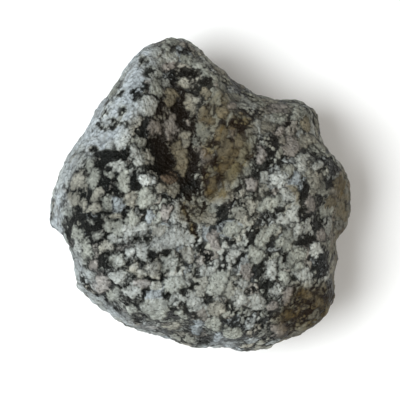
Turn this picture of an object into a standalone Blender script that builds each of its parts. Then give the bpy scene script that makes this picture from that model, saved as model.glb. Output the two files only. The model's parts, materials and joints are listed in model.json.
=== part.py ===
"""A hand-sized, weather-worn lump of snowflake obsidian, lying on its one flat spot.

The stone formed in one piece, so it is one solid in one node. It is modelled in steps: a pebble blank with
the plan outline of the stone, the faces that broke off it, two low lumps that stand up from them, the valley
across its top, the hollows where shells of glass sprang out, and the soft unevenness of weathering. Each step
is a surface with a signed distance in millimetres, negative inside the stone. The steps are combined with
rounded edges, and the skin of the result is found along straight lines from a point inside the stone. Small
worn chip scars are pressed into that skin last.

Run with: blender --background --python part.py, or from Blender's text editor. Units are metres, +Z is up,
and the origin is on the flat spot, below the middle of the stone's bounding box.
"""

import math
import random

import bmesh
import bpy
from mathutils import Vector, noise

MM = 0.001

# Driving dimensions, in millimetres.
BASE_RISE = 0.0  # height of the flat spot that the stone rests on
WIDEST_AT = 18.0  # height at which the plan outline is reached
TOP_REACH = 25.0  # the pebble blank's reach above WIDEST_AT, before its top breaks off
UNDER_REACH = 18.9  # and below it, before the flat spot is worn
TOP_FULLNESS = 3.1  # exponent of the blank's section above WIDEST_AT: 2 is an ellipse, more is boxier
UNDER_FULLNESS = 2.3  # and below it
SECTION_SCALE = 22.0  # turns the blank's section value into about a distance
INNER_POINT = Vector((0.0, -1.0, 17.0))  # inside the stone, and every point of the skin is seen from it
SKIN_SEARCH = (5.0, 60.0)  # the skin is farther from INNER_POINT than the first and nearer than the second
SEARCH_STEPS = 30  # halvings of that span
SKIN_CELLS = 28  # faces along each edge of the cube that is blown up into the skin

# The plan outline, anticlockwise from the eastern lobe, as x and y in millimetres.
OUTLINE = (
    ("east lobe", ((38.0, -2.0), (35.0, 6.1), (32.0, 11.7))),
    ("north-east waist and shoulder", ((30.7, 16.4), (29.8, 20.6), (25.4, 21.3), (19.7, 22.1))),
    ("long north-east edge", ((16.1, 23.2), (9.6, 26.5), (2.8, 32.2), (-3.2, 36.8))),
    ("northern peak", ((-8.3, 37.4), (-12.8, 35.5), (-17.2, 29.2), (-19.1, 25.7))),
    ("long north-west edge", ((-25.0, 20.0), (-28.1, 13.1), (-32.2, 6.7))),
    ("western lobe", ((-35.5, 0.0), (-36.5, -4.4), (-36.0, -9.5))),
    ("western dent", ((-32.6, -13.2), (-30.1, -17.4), (-29.2, -22.9), (-26.4, -26.4))),
    ("long south edge", ((-21.3, -30.3), (-13.4, -35.7), (-6.5, -36.8), (-1.6, -38.4), (3.4, -37.2))),
    ("southern lobe", ((8.2, -38.1), (12.7, -39.4), (17.8, -38.2), (24.3, -34.5))),
    ("south-east corner", ((30.1, -30.5), (32.6, -26.1), (33.5, -19.3))),
    ("eastern nick", ((35.1, -13.2), (36.5, -9.0))),
)

# Broken faces: a point of the face in millimetres, the compass direction that it looks to (degrees
# anticlockwise from +X), how far it leans from straight up (degrees), and how rounded its edges are.
FACES = (
    ("main face", (0.0, -20.0, 37.0), 322.0, 6.0, 2.5),
    ("north-west slope", (-19.5, 18.5, 36.5), 148.0, 38.0, 2.0),
    ("western slope", (-32.0, -2.0, 33.0), 182.0, 50.0, 3.0),
    ("south-west bevel", (-24.5, -25.0, 30.0), 228.0, 54.0, 3.0),
    ("south bevel", (0.0, -34.0, 30.0), 265.0, 58.0, 3.0),
    ("south-east corner face", (21.5, -22.0, 32.5), 315.0, 33.0, 2.5),
    ("eastern slope", (29.5, -4.0, 31.0), 352.0, 50.0, 2.5),
    ("shoulder, falling north-east", (14.0, 12.0, 36.0), 50.0, 17.0, 3.0),
    ("north-east bevel", (11.5, 23.5, 27.5), 52.0, 52.0, 2.5),
    ("peak top", (-9.5, 33.5, 31.5), 100.0, 40.0, 3.0),
    ("underside, north", (-4.0, 26.0, 6.0), 96.0, 142.0, 3.0),
    ("underside, west", (-26.0, -4.0, 5.5), 186.0, 140.0, 3.0),
    ("underside, south", (-4.0, -28.0, 6.0), 262.0, 140.0, 3.0),
    ("underside, south-east", (20.0, -20.0, 4.0), 316.0, 146.0, 3.0),
    ("underside, east", (27.0, 4.0, 6.0), 8.0, 140.0, 3.0),
)

# The valley across the top, given as its two walls, which meet in the valley's floor: a point of the floor,
# and the direction and lean of each wall as above. Its floor falls to the north.
VALLEY = (
    ("steep western wall", (-2.5, 20.0, 30.0), 16.0, 41.0),
    ("gentle eastern wall", (-2.5, 20.0, 30.0), 165.0, 26.0),
)
VALLEY_FLOOR_ROUNDING = 5.0
VALLEY_RIM_ROUNDING = 1.5

# Hollows: the centre and the half-sizes of an ellipsoid in millimetres, its turn in plan (degrees), and how
# rounded its rim is.
HOLLOWS = (
    ("scoop in the valley's western wall", (-4.5, 11.5, 44.0), (9.5, 14.0, 10.5), 12.0, 2.5),
    ("foot of the valley", (0.5, -3.0, 43.0), (6.0, 10.0, 7.0), 25.0, 3.0),
    ("eastern nick", (38.8, -12.5, 20.0), (6.0, 2.8, 16.0), 8.0, 2.0),
    ("western dent", (-37.5, -15.0, 20.0), (6.5, 4.5, 15.0), 20.0, 2.5),
    ("chip in the south face", (-17.0, -37.0, 12.0), (9.0, 6.0, 7.0), 28.0, 2.0),
    ("chip in the north face", (12.0, 34.0, 10.0), (11.0, 8.0, 8.0), -38.0, 2.0),
)

# Low lumps that stand up from the faces, given as the hollows are.
LUMPS = (
    ("shoulder", (21.0, 15.5, 20.0), (7.5, 6.0, 9.0), 20.0, 4.0),
    ("eastern lobe", (27.0, 0.5, 19.0), (7.5, 9.5, 10.5), 0.0, 4.0),
)

# Weathering: wavelength and height of each layer of soft lumps, in millimetres.
WEATHERING = ((15.0, 0.8), (6.5, 0.35))

# Small worn chip scars all over the skin: how many, and the range of their radii and depths in millimetres.
CHIP_SEED = 11
CHIPS = 260
CHIP_RADIUS = (4.0, 11.0)
CHIP_DEPTH = (0.3, 1.2)
CHIP_FADE = 3.0  # height above the flat spot at which the scars reach their full depth


def soft_max(a, b, rounding):
    """The larger of two distances, with the edge between their surfaces rounded off."""
    blend = max(rounding - abs(a - b), 0.0) / rounding
    return max(a, b) + blend * blend * rounding / 4.0


def soft_min(a, b, rounding):
    """The smaller of two distances, rounded in the same way."""
    return -soft_max(-a, -b, rounding)


def outline_table():
    """The outline's points as (angle, radius), sorted by angle."""
    points = [point for _, stretch in OUTLINE for point in stretch]
    return sorted((math.atan2(y, x) % math.tau, math.hypot(x, y)) for x, y in points)


def outline_radius(table, angle):
    """Radius of the plan outline at an angle: a smooth closed curve through the table's points."""
    count = len(table)
    after = next((i for i, (at, _) in enumerate(table) if at > angle), 0)
    angles, radii = [], []
    for step in (-2, -1, 0, 1):
        at, radius = table[(after + step) % count]
        angles.append(angle + (at - angle + math.pi) % math.tau - math.pi)
        radii.append(radius)
    span = angles[2] - angles[1]
    share = (angle - angles[1]) / span
    slope_in = (radii[2] - radii[0]) / (angles[2] - angles[0]) * span
    slope_out = (radii[3] - radii[1]) / (angles[3] - angles[1]) * span
    square, cube = share * share, share * share * share
    return (
        (2 * cube - 3 * square + 1) * radii[1]
        + (cube - 2 * square + share) * slope_in
        + (3 * square - 2 * cube) * radii[2]
        + (cube - square) * slope_out
    )


def blank_distance(point, rim):
    """The pebble blank: rim is the outline's radius in the point's direction."""
    across = math.hypot(point.x, point.y) / rim
    rise = point.z - WIDEST_AT
    reach, fullness = (TOP_REACH, TOP_FULLNESS) if rise > 0 else (UNDER_REACH, UNDER_FULLNESS)
    section = (across**fullness + (abs(rise) / reach) ** fullness) ** (1 / fullness)
    return (section - 1) * SECTION_SCALE


def face_plane(at, looks_to, lean):
    """(normal, offset) of a broken face."""
    turn, tilt = math.radians(looks_to), math.radians(lean)
    normal = Vector((math.sin(tilt) * math.cos(turn), math.sin(tilt) * math.sin(turn), math.cos(tilt)))
    return normal, normal.dot(Vector(at))


def ellipsoid_distance(point, centre, halves, turn):
    """About the distance from an ellipsoid that is turned in plan, negative inside it."""
    x, y, z = point - Vector(centre)
    cos, sin = math.cos(math.radians(turn)), math.sin(math.radians(turn))
    local = (x * cos + y * sin, y * cos - x * sin, z)
    scaled = math.sqrt(sum((a / b) ** 2 for a, b in zip(local, halves)))
    steepness = math.sqrt(sum((a / (b * b)) ** 2 for a, b in zip(local, halves)))
    return scaled * (scaled - 1) / max(steepness, 1e-6)


def weathering(point):
    """Height of the soft lumps at a point, in millimetres."""
    return sum(height * noise.noise(point / wavelength) for wavelength, height in WEATHERING)


def stone_distance(point, rim, faces, valley_walls):
    """Signed distance to the finished skin, in about millimetres."""
    value = blank_distance(point, rim)
    for (normal, offset), rounding in faces:
        value = soft_max(value, normal.dot(point) - offset, rounding)
    for _, centre, halves, turn, rounding in LUMPS:
        value = soft_min(value, ellipsoid_distance(point, centre, halves, turn), rounding)
    west, east = (normal.dot(point) - offset for normal, offset in valley_walls)
    value = soft_max(value, soft_min(west, east, VALLEY_FLOOR_ROUNDING), VALLEY_RIM_ROUNDING)
    for _, centre, halves, turn, rounding in HOLLOWS:
        value = soft_max(value, -ellipsoid_distance(point, centre, halves, turn), rounding)
    return value - weathering(point)


def skin_point(direction, table, faces, valley_walls):
    """Where the line from INNER_POINT in this direction leaves the stone."""
    near, far = SKIN_SEARCH
    for _ in range(SEARCH_STEPS):
        middle = (near + far) / 2
        point = INNER_POINT + direction * middle
        rim = outline_radius(table, math.atan2(point.y, point.x) % math.tau)
        if stone_distance(point, rim, faces, valley_walls) < 0:
            near = middle
        else:
            far = middle
    point = INNER_POINT + direction * near
    if point.z < BASE_RISE:
        to_base = (BASE_RISE - INNER_POINT.z) / direction.z
        point = INNER_POINT + direction * to_base
        point.z = BASE_RISE
    return point


def blown_up_cube():
    """A cube of SKIN_CELLS squares a side, spread so that all squares are nearly equal once it is a ball."""
    mesh = bmesh.new()
    bmesh.ops.create_cube(mesh, size=2.0)
    bmesh.ops.subdivide_edges(mesh, edges=mesh.edges[:], cuts=SKIN_CELLS - 1, use_grid_fill=True)
    for vertex in mesh.verts:
        vertex.co = Vector(math.tan(math.pi / 4 * along) for along in vertex.co).normalized()
    return mesh


def chip_scars(mesh):
    """Presses small round scars into the skin, each deepest in its middle; the flat spot stays flat."""
    dice = random.Random(CHIP_SEED)
    mesh.normal_update()
    skin = [(vertex, vertex.co.copy(), vertex.normal.copy()) for vertex in mesh.verts]
    sink = [0.0] * len(skin)
    for _ in range(CHIPS):
        _, middle, _ = dice.choice(skin)
        size = dice.random()
        radius = (CHIP_RADIUS[0] + (CHIP_RADIUS[1] - CHIP_RADIUS[0]) * size * size) * MM
        depth = (CHIP_DEPTH[0] + (CHIP_DEPTH[1] - CHIP_DEPTH[0]) * size) * MM
        for index, (_, place, _) in enumerate(skin):
            share = (place - middle).length / radius
            if share < 1:
                sink[index] = max(sink[index], depth * (1 - share * share))
    for (vertex, place, normal), depth in zip(skin, sink):
        vertex.co = place - normal * depth * min(place.z / (CHIP_FADE * MM), 1.0)
        vertex.co.z = max(vertex.co.z, 0.0)


def centre_on_origin(mesh):
    """Moves the stone so that the middle of its bounding box is above the origin."""
    for axis in (0, 1):
        places = [vertex.co[axis] for vertex in mesh.verts]
        middle = (min(places) + max(places)) / 2
        for vertex in mesh.verts:
            vertex.co[axis] -= middle


def stone_material():
    """Weathered volcanic glass that is two thirds grey cristobalite: the mean colour of the mottling."""
    material = bpy.data.materials.new("snowflake obsidian")
    material.use_nodes = True
    shader = material.node_tree.nodes["Principled BSDF"]
    shader.inputs["Base Color"].default_value = (0.155, 0.153, 0.137, 1.0)
    shader.inputs["Roughness"].default_value = 0.6
    shader.inputs["Metallic"].default_value = 0.0
    return material


def build_stone():
    """The finished stone, as one smooth-shaded object."""
    table = outline_table()
    faces = [(face_plane(at, looks_to, lean), rounding) for _, at, looks_to, lean, rounding in FACES]
    valley_walls = [face_plane(at, looks_to, lean) for _, at, looks_to, lean in VALLEY]
    skin = blown_up_cube()
    for vertex in skin.verts:
        vertex.co = skin_point(vertex.co.copy(), table, faces, valley_walls) * MM
    chip_scars(skin)
    centre_on_origin(skin)
    mesh = bpy.data.meshes.new("stone")
    skin.to_mesh(mesh)
    skin.free()
    mesh.shade_smooth()
    mesh.materials.append(stone_material())
    stone = bpy.data.objects.new("stone", mesh)
    bpy.context.scene.collection.objects.link(stone)


for leftover in list(bpy.data.objects):
    bpy.data.objects.remove(leftover)
build_stone()
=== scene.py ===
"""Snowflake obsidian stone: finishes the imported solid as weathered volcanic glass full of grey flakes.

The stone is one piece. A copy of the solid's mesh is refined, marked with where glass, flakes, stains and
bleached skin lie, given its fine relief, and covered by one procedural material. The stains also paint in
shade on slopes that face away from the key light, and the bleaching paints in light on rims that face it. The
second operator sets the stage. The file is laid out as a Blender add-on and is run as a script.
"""

import json
import math

import bpy
import numpy as np
from bpy.props import FloatProperty, FloatVectorProperty, IntProperty, PointerProperty
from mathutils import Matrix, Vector, noise

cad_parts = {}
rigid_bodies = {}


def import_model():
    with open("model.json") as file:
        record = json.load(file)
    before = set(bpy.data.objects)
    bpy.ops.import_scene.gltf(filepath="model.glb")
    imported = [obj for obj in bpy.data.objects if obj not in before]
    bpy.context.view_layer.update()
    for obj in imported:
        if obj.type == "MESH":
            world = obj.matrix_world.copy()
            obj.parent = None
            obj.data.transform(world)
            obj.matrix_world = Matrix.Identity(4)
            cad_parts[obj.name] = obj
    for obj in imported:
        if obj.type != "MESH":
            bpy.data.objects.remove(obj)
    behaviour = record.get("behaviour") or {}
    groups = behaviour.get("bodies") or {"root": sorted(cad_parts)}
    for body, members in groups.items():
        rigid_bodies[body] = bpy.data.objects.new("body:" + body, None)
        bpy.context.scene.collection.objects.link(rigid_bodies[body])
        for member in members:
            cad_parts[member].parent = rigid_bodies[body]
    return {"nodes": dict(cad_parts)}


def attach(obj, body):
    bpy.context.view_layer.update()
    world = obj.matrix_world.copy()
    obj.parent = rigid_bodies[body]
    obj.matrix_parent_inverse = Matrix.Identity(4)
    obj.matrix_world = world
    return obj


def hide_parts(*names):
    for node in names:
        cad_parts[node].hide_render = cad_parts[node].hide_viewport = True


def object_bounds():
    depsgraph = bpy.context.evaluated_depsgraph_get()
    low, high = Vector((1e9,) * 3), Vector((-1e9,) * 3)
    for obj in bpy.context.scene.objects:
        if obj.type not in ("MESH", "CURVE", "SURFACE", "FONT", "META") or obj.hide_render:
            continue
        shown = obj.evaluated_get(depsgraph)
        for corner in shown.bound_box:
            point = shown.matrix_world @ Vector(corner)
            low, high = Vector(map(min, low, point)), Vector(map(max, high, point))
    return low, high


for leftover in list(bpy.data.objects):
    bpy.data.objects.remove(leftover)
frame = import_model()
CAD_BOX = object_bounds()

bl_info = {
    "name": "Snowflake obsidian stone",
    "version": (1, 0, 0),
    "blender": (4, 5, 0),
    "location": "3D View > Sidebar > Stone",
    "description": "Makes a weathered stone of snowflake obsidian and a plain studio to see it in",
    "category": "Add Mesh",
}

MM = 0.001

# The camera looks straight down. The marks on the stone are drawn in plan as it sees them, on a level near
# the stone's top, so a mark lower down lies a little further out than its place says.
CAMERA_PLACE = (-0.24 * MM, -1.65 * MM, 400.0 * MM)
CAMERA_LENS = 140.4
CAMERA_CLIP = 10.0 * MM
MARKING_LEVEL = 37.0 * MM

# The stage: the floor's width, each lamp's place, width and tint, and the point that the lamps shine at.
FLOOR_WIDTH = 3.0
LAMPS = {
    "key": ((-0.34, -0.05, 0.58), 0.42, (0.94, 0.975, 1.0)),
    "fill": ((0.50, -0.12, 0.30), 0.40, (1.0, 0.88, 0.73)),
}
LAMP_TARGET = (0.0, 0.0, 0.02)

# Drawn marks fade in as the skin turns towards the camera, and zones of changed skin reach on round the
# sides: from the first cosine of the angle between the skin's normal and the line of sight, fully from the
# second.
MARKS_FACING = (0.12, 0.40)
ZONES_FACING = (-0.75, -0.25)
NO_MARK = -3.0  # depth in millimetres where no mark is near
SMALLEST = 1e-6  # keeps the depth at an ellipse's middle from dividing by zero

# Bleached skin (partly painted light), thick and crowded skin fades in over this many millimetres outside a
# drawn pool of glass.
GLASS_MARGIN = 0.8

# On the sides, where no marks are drawn, the weathered skin has windows worn in it, through which the flakes
# show: where noise of this width is above the first level, and fully above the second.
WINDOW_WIDTH = 8.0 * MM
WINDOW_START = (7.0, 3.0, 11.0)
WINDOW_LEVELS = (0.02, 0.20)

# Where two drawn flakes meet: the depth along their seam, and how fast the depth grows away from it.
FLAKE_SEAM = -0.1
FLAKE_PARTING = 0.7

# How far the drawn outlines stray from true ellipses, in millimetres, and over what length.
WANDERS = ((1.0, 3.4 * MM), (0.55, 1.5 * MM))
# Where in the noise the straying eastwards and the straying northwards start.
WANDER_STARTS = ((0.0, 0.0, 0.0), (31.0, 17.0, 5.0))

# The flow of the lava drew the flakes out: its direction in plan, in degrees from +X, how much longer it made
# them, and how much longer the streaks in their tone.
FLOW_TURN = 52.0
FLOW_STRETCH = 1.4
STREAK_STRETCH = 2.2

# Kinds of nodes, and settings that many of them share.
MATH = "ShaderNodeMath"
VECTOR_MATH = "ShaderNodeVectorMath"
RANGE = "ShaderNodeMapRange"
NOISE = "ShaderNodeTexNoise"
CELLS = "ShaderNodeTexVoronoi"
MIX = "ShaderNodeMix"
PLUS = {"operation": "ADD"}
MINUS = {"operation": "SUBTRACT"}
TIMES = {"operation": "MULTIPLY"}
TIMES_PLUS = {"operation": "MULTIPLY_ADD"}
SMALLER = {"operation": "MINIMUM"}
LARGER = {"operation": "MAXIMUM"}
CLAMPED = {"use_clamp": True}
SOFT_STEP = {"interpolation_type": "SMOOTHSTEP"}
NUMBERS = {"data_type": "FLOAT"}
COLOURS = {"data_type": "RGBA"}

# Noises. A scale is one over the width of the largest bumps, in millimetres.
SWAY = {"Scale": 1 / 1.6, "Detail": 3.0, "Roughness": 0.55}  # makes edges wander
DRIFT = {"Scale": 1 / 8.5, "Detail": 1.0}  # thins the grown flakes out in places
SPECKS = {"Scale": 1 / 1.2, "Detail": 2.5, "Roughness": 0.6}  # the pattern left over in thick skin
MOTTLE = {"Scale": 1 / 1.1, "Detail": 2.0, "Roughness": 0.55}  # soft mottling, in streaks along the flow
PITS = {"Scale": 1 / 0.55, "Detail": 2.0, "Roughness": 0.6}  # fine pits
BROAD = {"Scale": 1 / 6.0, "Detail": 2.0}  # slow change over the whole stone
GLASS_SPECKS_AND_GLINTS = {"Scale": 1 / 0.42, "Detail": 1.0}  # single pale specks in the glass: small grains, and painted glints
CHIPS = {"Scale": 1 / 1.0, "Detail": 4.0, "Roughness": 0.7}  # tiny chips that glint
BUMPS = {"Detail": 3.0, "Roughness": 0.55}  # weathered unevenness

# The grown flakes. Reaches are shares of the flake spacing, and thinning shortens them where drift is high.
SWAY_REACH = 3.0  # how far edges wander, in times the raggedness
GRAIN_SPAN = {"From Min": 0.15, "From Max": 0.8}  # from the top of a grain to its crease, in grain sizes
GRAIN_PULL = 0.25  # how far a flake's edge keeps to whole grains
REACHES = {"To Min": 0.50, "To Max": 1.05}  # of the smallest and the largest flake
THINNING = {"From Min": 0.42, "From Max": 0.66, "To Min": 0.0, "To Max": -0.42}
CROWDED_REACH = 0.4  # added where flakes crowd
SEAM_SPAN = {"From Min": 0.35, "From Max": 0.65}  # of the noise that closes and opens seams
SEAM_OVERLAP = 0.15  # millimetres that flakes grow into each other where a seam is closed
CROWDED_OVERLAP = 0.35  # and further where they crowd

# The drawn marks.
FRAY_SPAN = {"From Min": 0.25, "From Max": 0.75}  # of the noise that frays their edges
POOL_EDGE = 0.55  # how much a pool's depth counts beside the fraying
POOL_STEEPNESS = 2.2  # how fast the glass deepens from its edge
FLAKE_FRAY = 0.8  # share of the fraying that a drawn flake's edge takes
FLAKE_GROWTH = 0.2  # millimetres that it grows past its ellipse
DRAWN_EDGE = -0.15  # depth from which a point belongs to a drawn flake
CLEARANCE = 0.35  # depth of the glass right beside a drawn flake
CLEARANCE_RAMP = -0.7  # how fast grown flakes come back further away from it
CROWDED_CLEARANCE = 1.2  # how much of that glass goes where flakes crowd

# The relief. A flake rises over these depths, in millimetres, from the glass outside it to its top.
FLAKE_SIDES = {"From Min": -0.35, "From Max": 0.95}
BUMP_SPAN = {"From Min": 0.2, "From Max": 0.8}
FOOT_FADE = {"From Min": 0.1, "From Max": 3.0}  # millimetres above the flat spot over which relief fades in

# The finish: how values of noises and marks turn into cover, tone, light and roughness.
PIT_EDGE = {"From Min": 0.3, "From Max": 0.7, "To Min": -0.2, "To Max": 0.2}  # pits break up a flake's edge
COVER_EDGE = {"From Min": -0.34, "From Max": 0.42}  # depth over which flake replaces glass
PIT_LOSS = {"From Min": 0.30, "From Max": 0.42, "To Min": 0.4, "To Max": 1.0}  # glass shows in the pits
GROWN_TONES = {"To Min": 0.41, "To Max": 0.82}  # part of FLAKE_TONES that grown flakes take
FLAKE_LIGHT = 1.075
SKIN_LIGHT = {"From Min": 0.3, "From Max": 0.7, "To Min": 0.78, "To Max": 1.08}
SKIN_EVENING = 0.7  # how far thick skin evens out the light and dark of flakes
BLEACH_AND_LIGHT_PATCHES = {"From Min": 0.3, "From Max": 0.6, "To Min": 0.55, "To Max": 1.0}
GLASS_RUST = 0.15  # trace of iron in all of the glass, beside that where the stain and its painted shade lie
STAIN_AND_SHADE_CLOSING, BLEACH_AND_LIGHT_CLOSING = 0.05, 0.12  # how far stain (with its painted shade) and bleaching (with its painted light) close the glass in thick skin
SPECK_EDGE = {"From Min": 0.37, "From Max": 0.52}
CLOUD_SPAN = {"From Min": 0.4, "From Max": 0.7, "To Min": 0.0, "To Max": 0.09}
CROWDED_HAZE, BLEACH_AND_LIGHT_HAZE = 0.3, 0.15
GLASS_SPECK_AND_GLINT_SPAN = {"From Min": 0.62, "From Max": 0.74, "To Max": 0.2}
ROUGHNESSES = {"To Min": 0.24, "To Max": 0.88}  # of glass and of flake
CHIP_WEAR = {"To Min": 1.0, "To Max": 0.5}  # thick skin has half of the chips
FLAKE_RISE, GRAIN_RISE = 0.25, 1.0  # heights of flakes and of grains beside that of chips
CHIP_HEIGHT = 0.50 * MM

# Bare glass, drawn as ellipses: x and y of the middle, half-sizes along and across, and turn in degrees.
GLASS_POOLS = (
    ("western face", (
        (-20.5, 9, 4, 1.5, -3), (-22.5, 5, 2, 3.75), (-15.25, 3.25, 1.25, 2.5), (-27, -5, 1.75, 1.5),
        (-24.5, -7, 2.5, 1.75, -25), (-28, 0.25, 2.25, 1.25), (-23.75, -2.25, 0.75, 1),
        (-22.75, -15, 1.5, 2.5), (-18.75, 0, 1.5, 1.25), (-13, -3, 1, 0.75), (-13.25, -5, 0.5, 1),
        (-14.5, -10.5, 1, 0.5), (-12.75, -9.75, 0.75, 0.5), (-10.5, -13.75, 1.25, 1.5),
        (-30.75, -8.75, 1.25, 2.25), (-9.25, 8.75, 2.5, 4.25, 5), (-13, 15.25, 1.25, 2.25),
    )),
    ("valley and peak", (
        (-4.5, 19.25, 2.75, 2.25), (-4, 28, 3.5, 1.25), (-6.25, 26.5, 1, 1.5), (0.75, 25.75, 2, 1.25),
        (-4, 16, 1.75, 1.5), (-2.75, 2.5, 2, 3.75), (-2, 8, 1, 2.75), (2.5, 12.5, 0.75, 0.75),
        (7.25, 16.5, 0.75, 0.75), (9.5, 15.75, 1, 1), (4.75, 16.5, 0.5, 0.5), (11.5, 18.25, 0.5, 0.5),
        (7.75, 13, 1, 0.25), (4.75, -4.25, 1.5, 2), (3, -7.25, 1, 0.5, 35), (-1.5, -11, 0.75, 0.5),
        (0.5, 5, 0.75, 1.75, 15), (6.75, -10.75, 1, 0.5), (4.25, -10.75, 0.5, 0.75), (3, 7.75, 0.5, 1),
        (4, 3.75, 0.75, 0.5), (-6.25, 34.25, 0.5, 0.75), (-3.5, 33.25, 0.75, 0.75),
        (0.5, -12.5, 1, 0.75, -20), (1.75, -14.25, 0.75, 1.25, 15),
    )),
    ("eastern face", (
        (17.5, 15, 0.75, 0.5), (24, 20.5, 0.5, 0.5), (24.75, 19.5, 0.5, 0.25), (13.25, 18.75, 1, 0.5, -20),
        (10.5, 19.5, 1, 0.5, -10), (20.5, 16.5, 0.5, 1.25), (16.75, 12.75, 1, 1.5, 15),
        (16.25, 9.75, 0.75, 1.5, -10), (31, 7, 1.75, 2), (30, 3.25, 1, 1.5), (28, 7, 1.25, 1.25),
        (24, 0, 1, 3.25), (24.75, -4, 1.5, 1.75), (27, -6.5, 1.5, 1.5), (28, -1, 1, 1.25),
        (24.5, -10.75, 2.25, 1.5), (28.75, -14, 1.5, 1.75), (28.25, -16.5, 1.5, 1.25),
        (13.25, -17.5, 1, 1.75, -15), (16, -21, 2, 1.25), (12.5, -21.5, 0.75, 0.75), (25, -27, 1.25, 0.5, 20),
        (29.5, -21.25, 0.5, 1.75), (26.25, -21.25, 0.75, 0.5), (22.75, -28.75, 1.25, 0.5, 25),
        (25, -25.25, 0.5, 1.25), (16, -27.5, 1.25, 1), (19.75, -26, 0.75, 1), (25, -23.25, 1, 0.5),
        (22.25, -25.25, 0.5, 0.75), (20, -30.75, 0.5, 0.5), (16.5, -33, 1.25, 0.25, 15),
        (15, -24.5, 0.5, 1.25), (12.25, -9.25, 1.5, 2.25, -30), (19.25, -14.5, 1, 1), (21.25, -18.5, 1, 1.5),
        (23, -16.75, 1, 0.5), (27, -18.25, 1.5, 0.75), (30, -20.5, 0.75, 1.5),
    )),
    ("southern face", (
        (-26, -16.25, 0.75, 1), (-8, -13, 1, 1), (-14, -15.25, 1.25, 0.75), (-17.5, -16, 0.75, 0.75),
        (-16.25, -18, 1, 1), (-9, -17.5, 0.75, 1.5), (-8.75, -19.25, 0.75, 0.75), (-20.5, -20.5, 0.75, 1),
        (-18, -20.75, 1.25, 1), (-16.25, -24.5, 1.75, 1), (-13, -23, 1.25, 1), (-19.5, -27, 0.75, 1),
        (-14.75, -28, 0.75, 1.25), (-22, -22.75, 1, 0.75), (-6.75, -27.75, 1.5, 1.5),
        (-3.5, -29.75, 1.25, 1.25), (-2.75, -26.75, 1, 1.75), (-4, -25.5, 1, 0.75), (-7.75, -22.5, 0.75, 1),
        (-3.5, -22, 1.5, 1), (4.25, -16.75, 0.5, 0.5), (6, -16.75, 0.5, 0.5), (-3, -17.5, 0.5, 0.25),
        (-1, -17.75, 0.5, 0.75), (8.25, -29.75, 0.75, 0.5), (9.75, -28.25, 0.5, 0.5), (13, -31.5, 0.5, 0.5),
        (14.5, -29.25, 0.75, 0.75), (0.75, -33.75, 1.25, 1),
    )),
    ("north-west slope", (
        (-22.75, 18.75, 1, 1.25, -20), (-26, 15.75, 0.75, 0.75), (-14.75, 23.25, 1, 1),
        (-17, 16.25, 0.5, 0.75), (-20.25, 17, 0.75, 0.75), (-13, 30.75, 1, 0.75), (-11.75, 28.5, 1, 0.75),
        (-12.5, 25, 0.75, 1), (-12.75, 22.75, 0.75, 0.5), (-25, 10.75, 0.75, 0.5),
    )),
)

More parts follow.
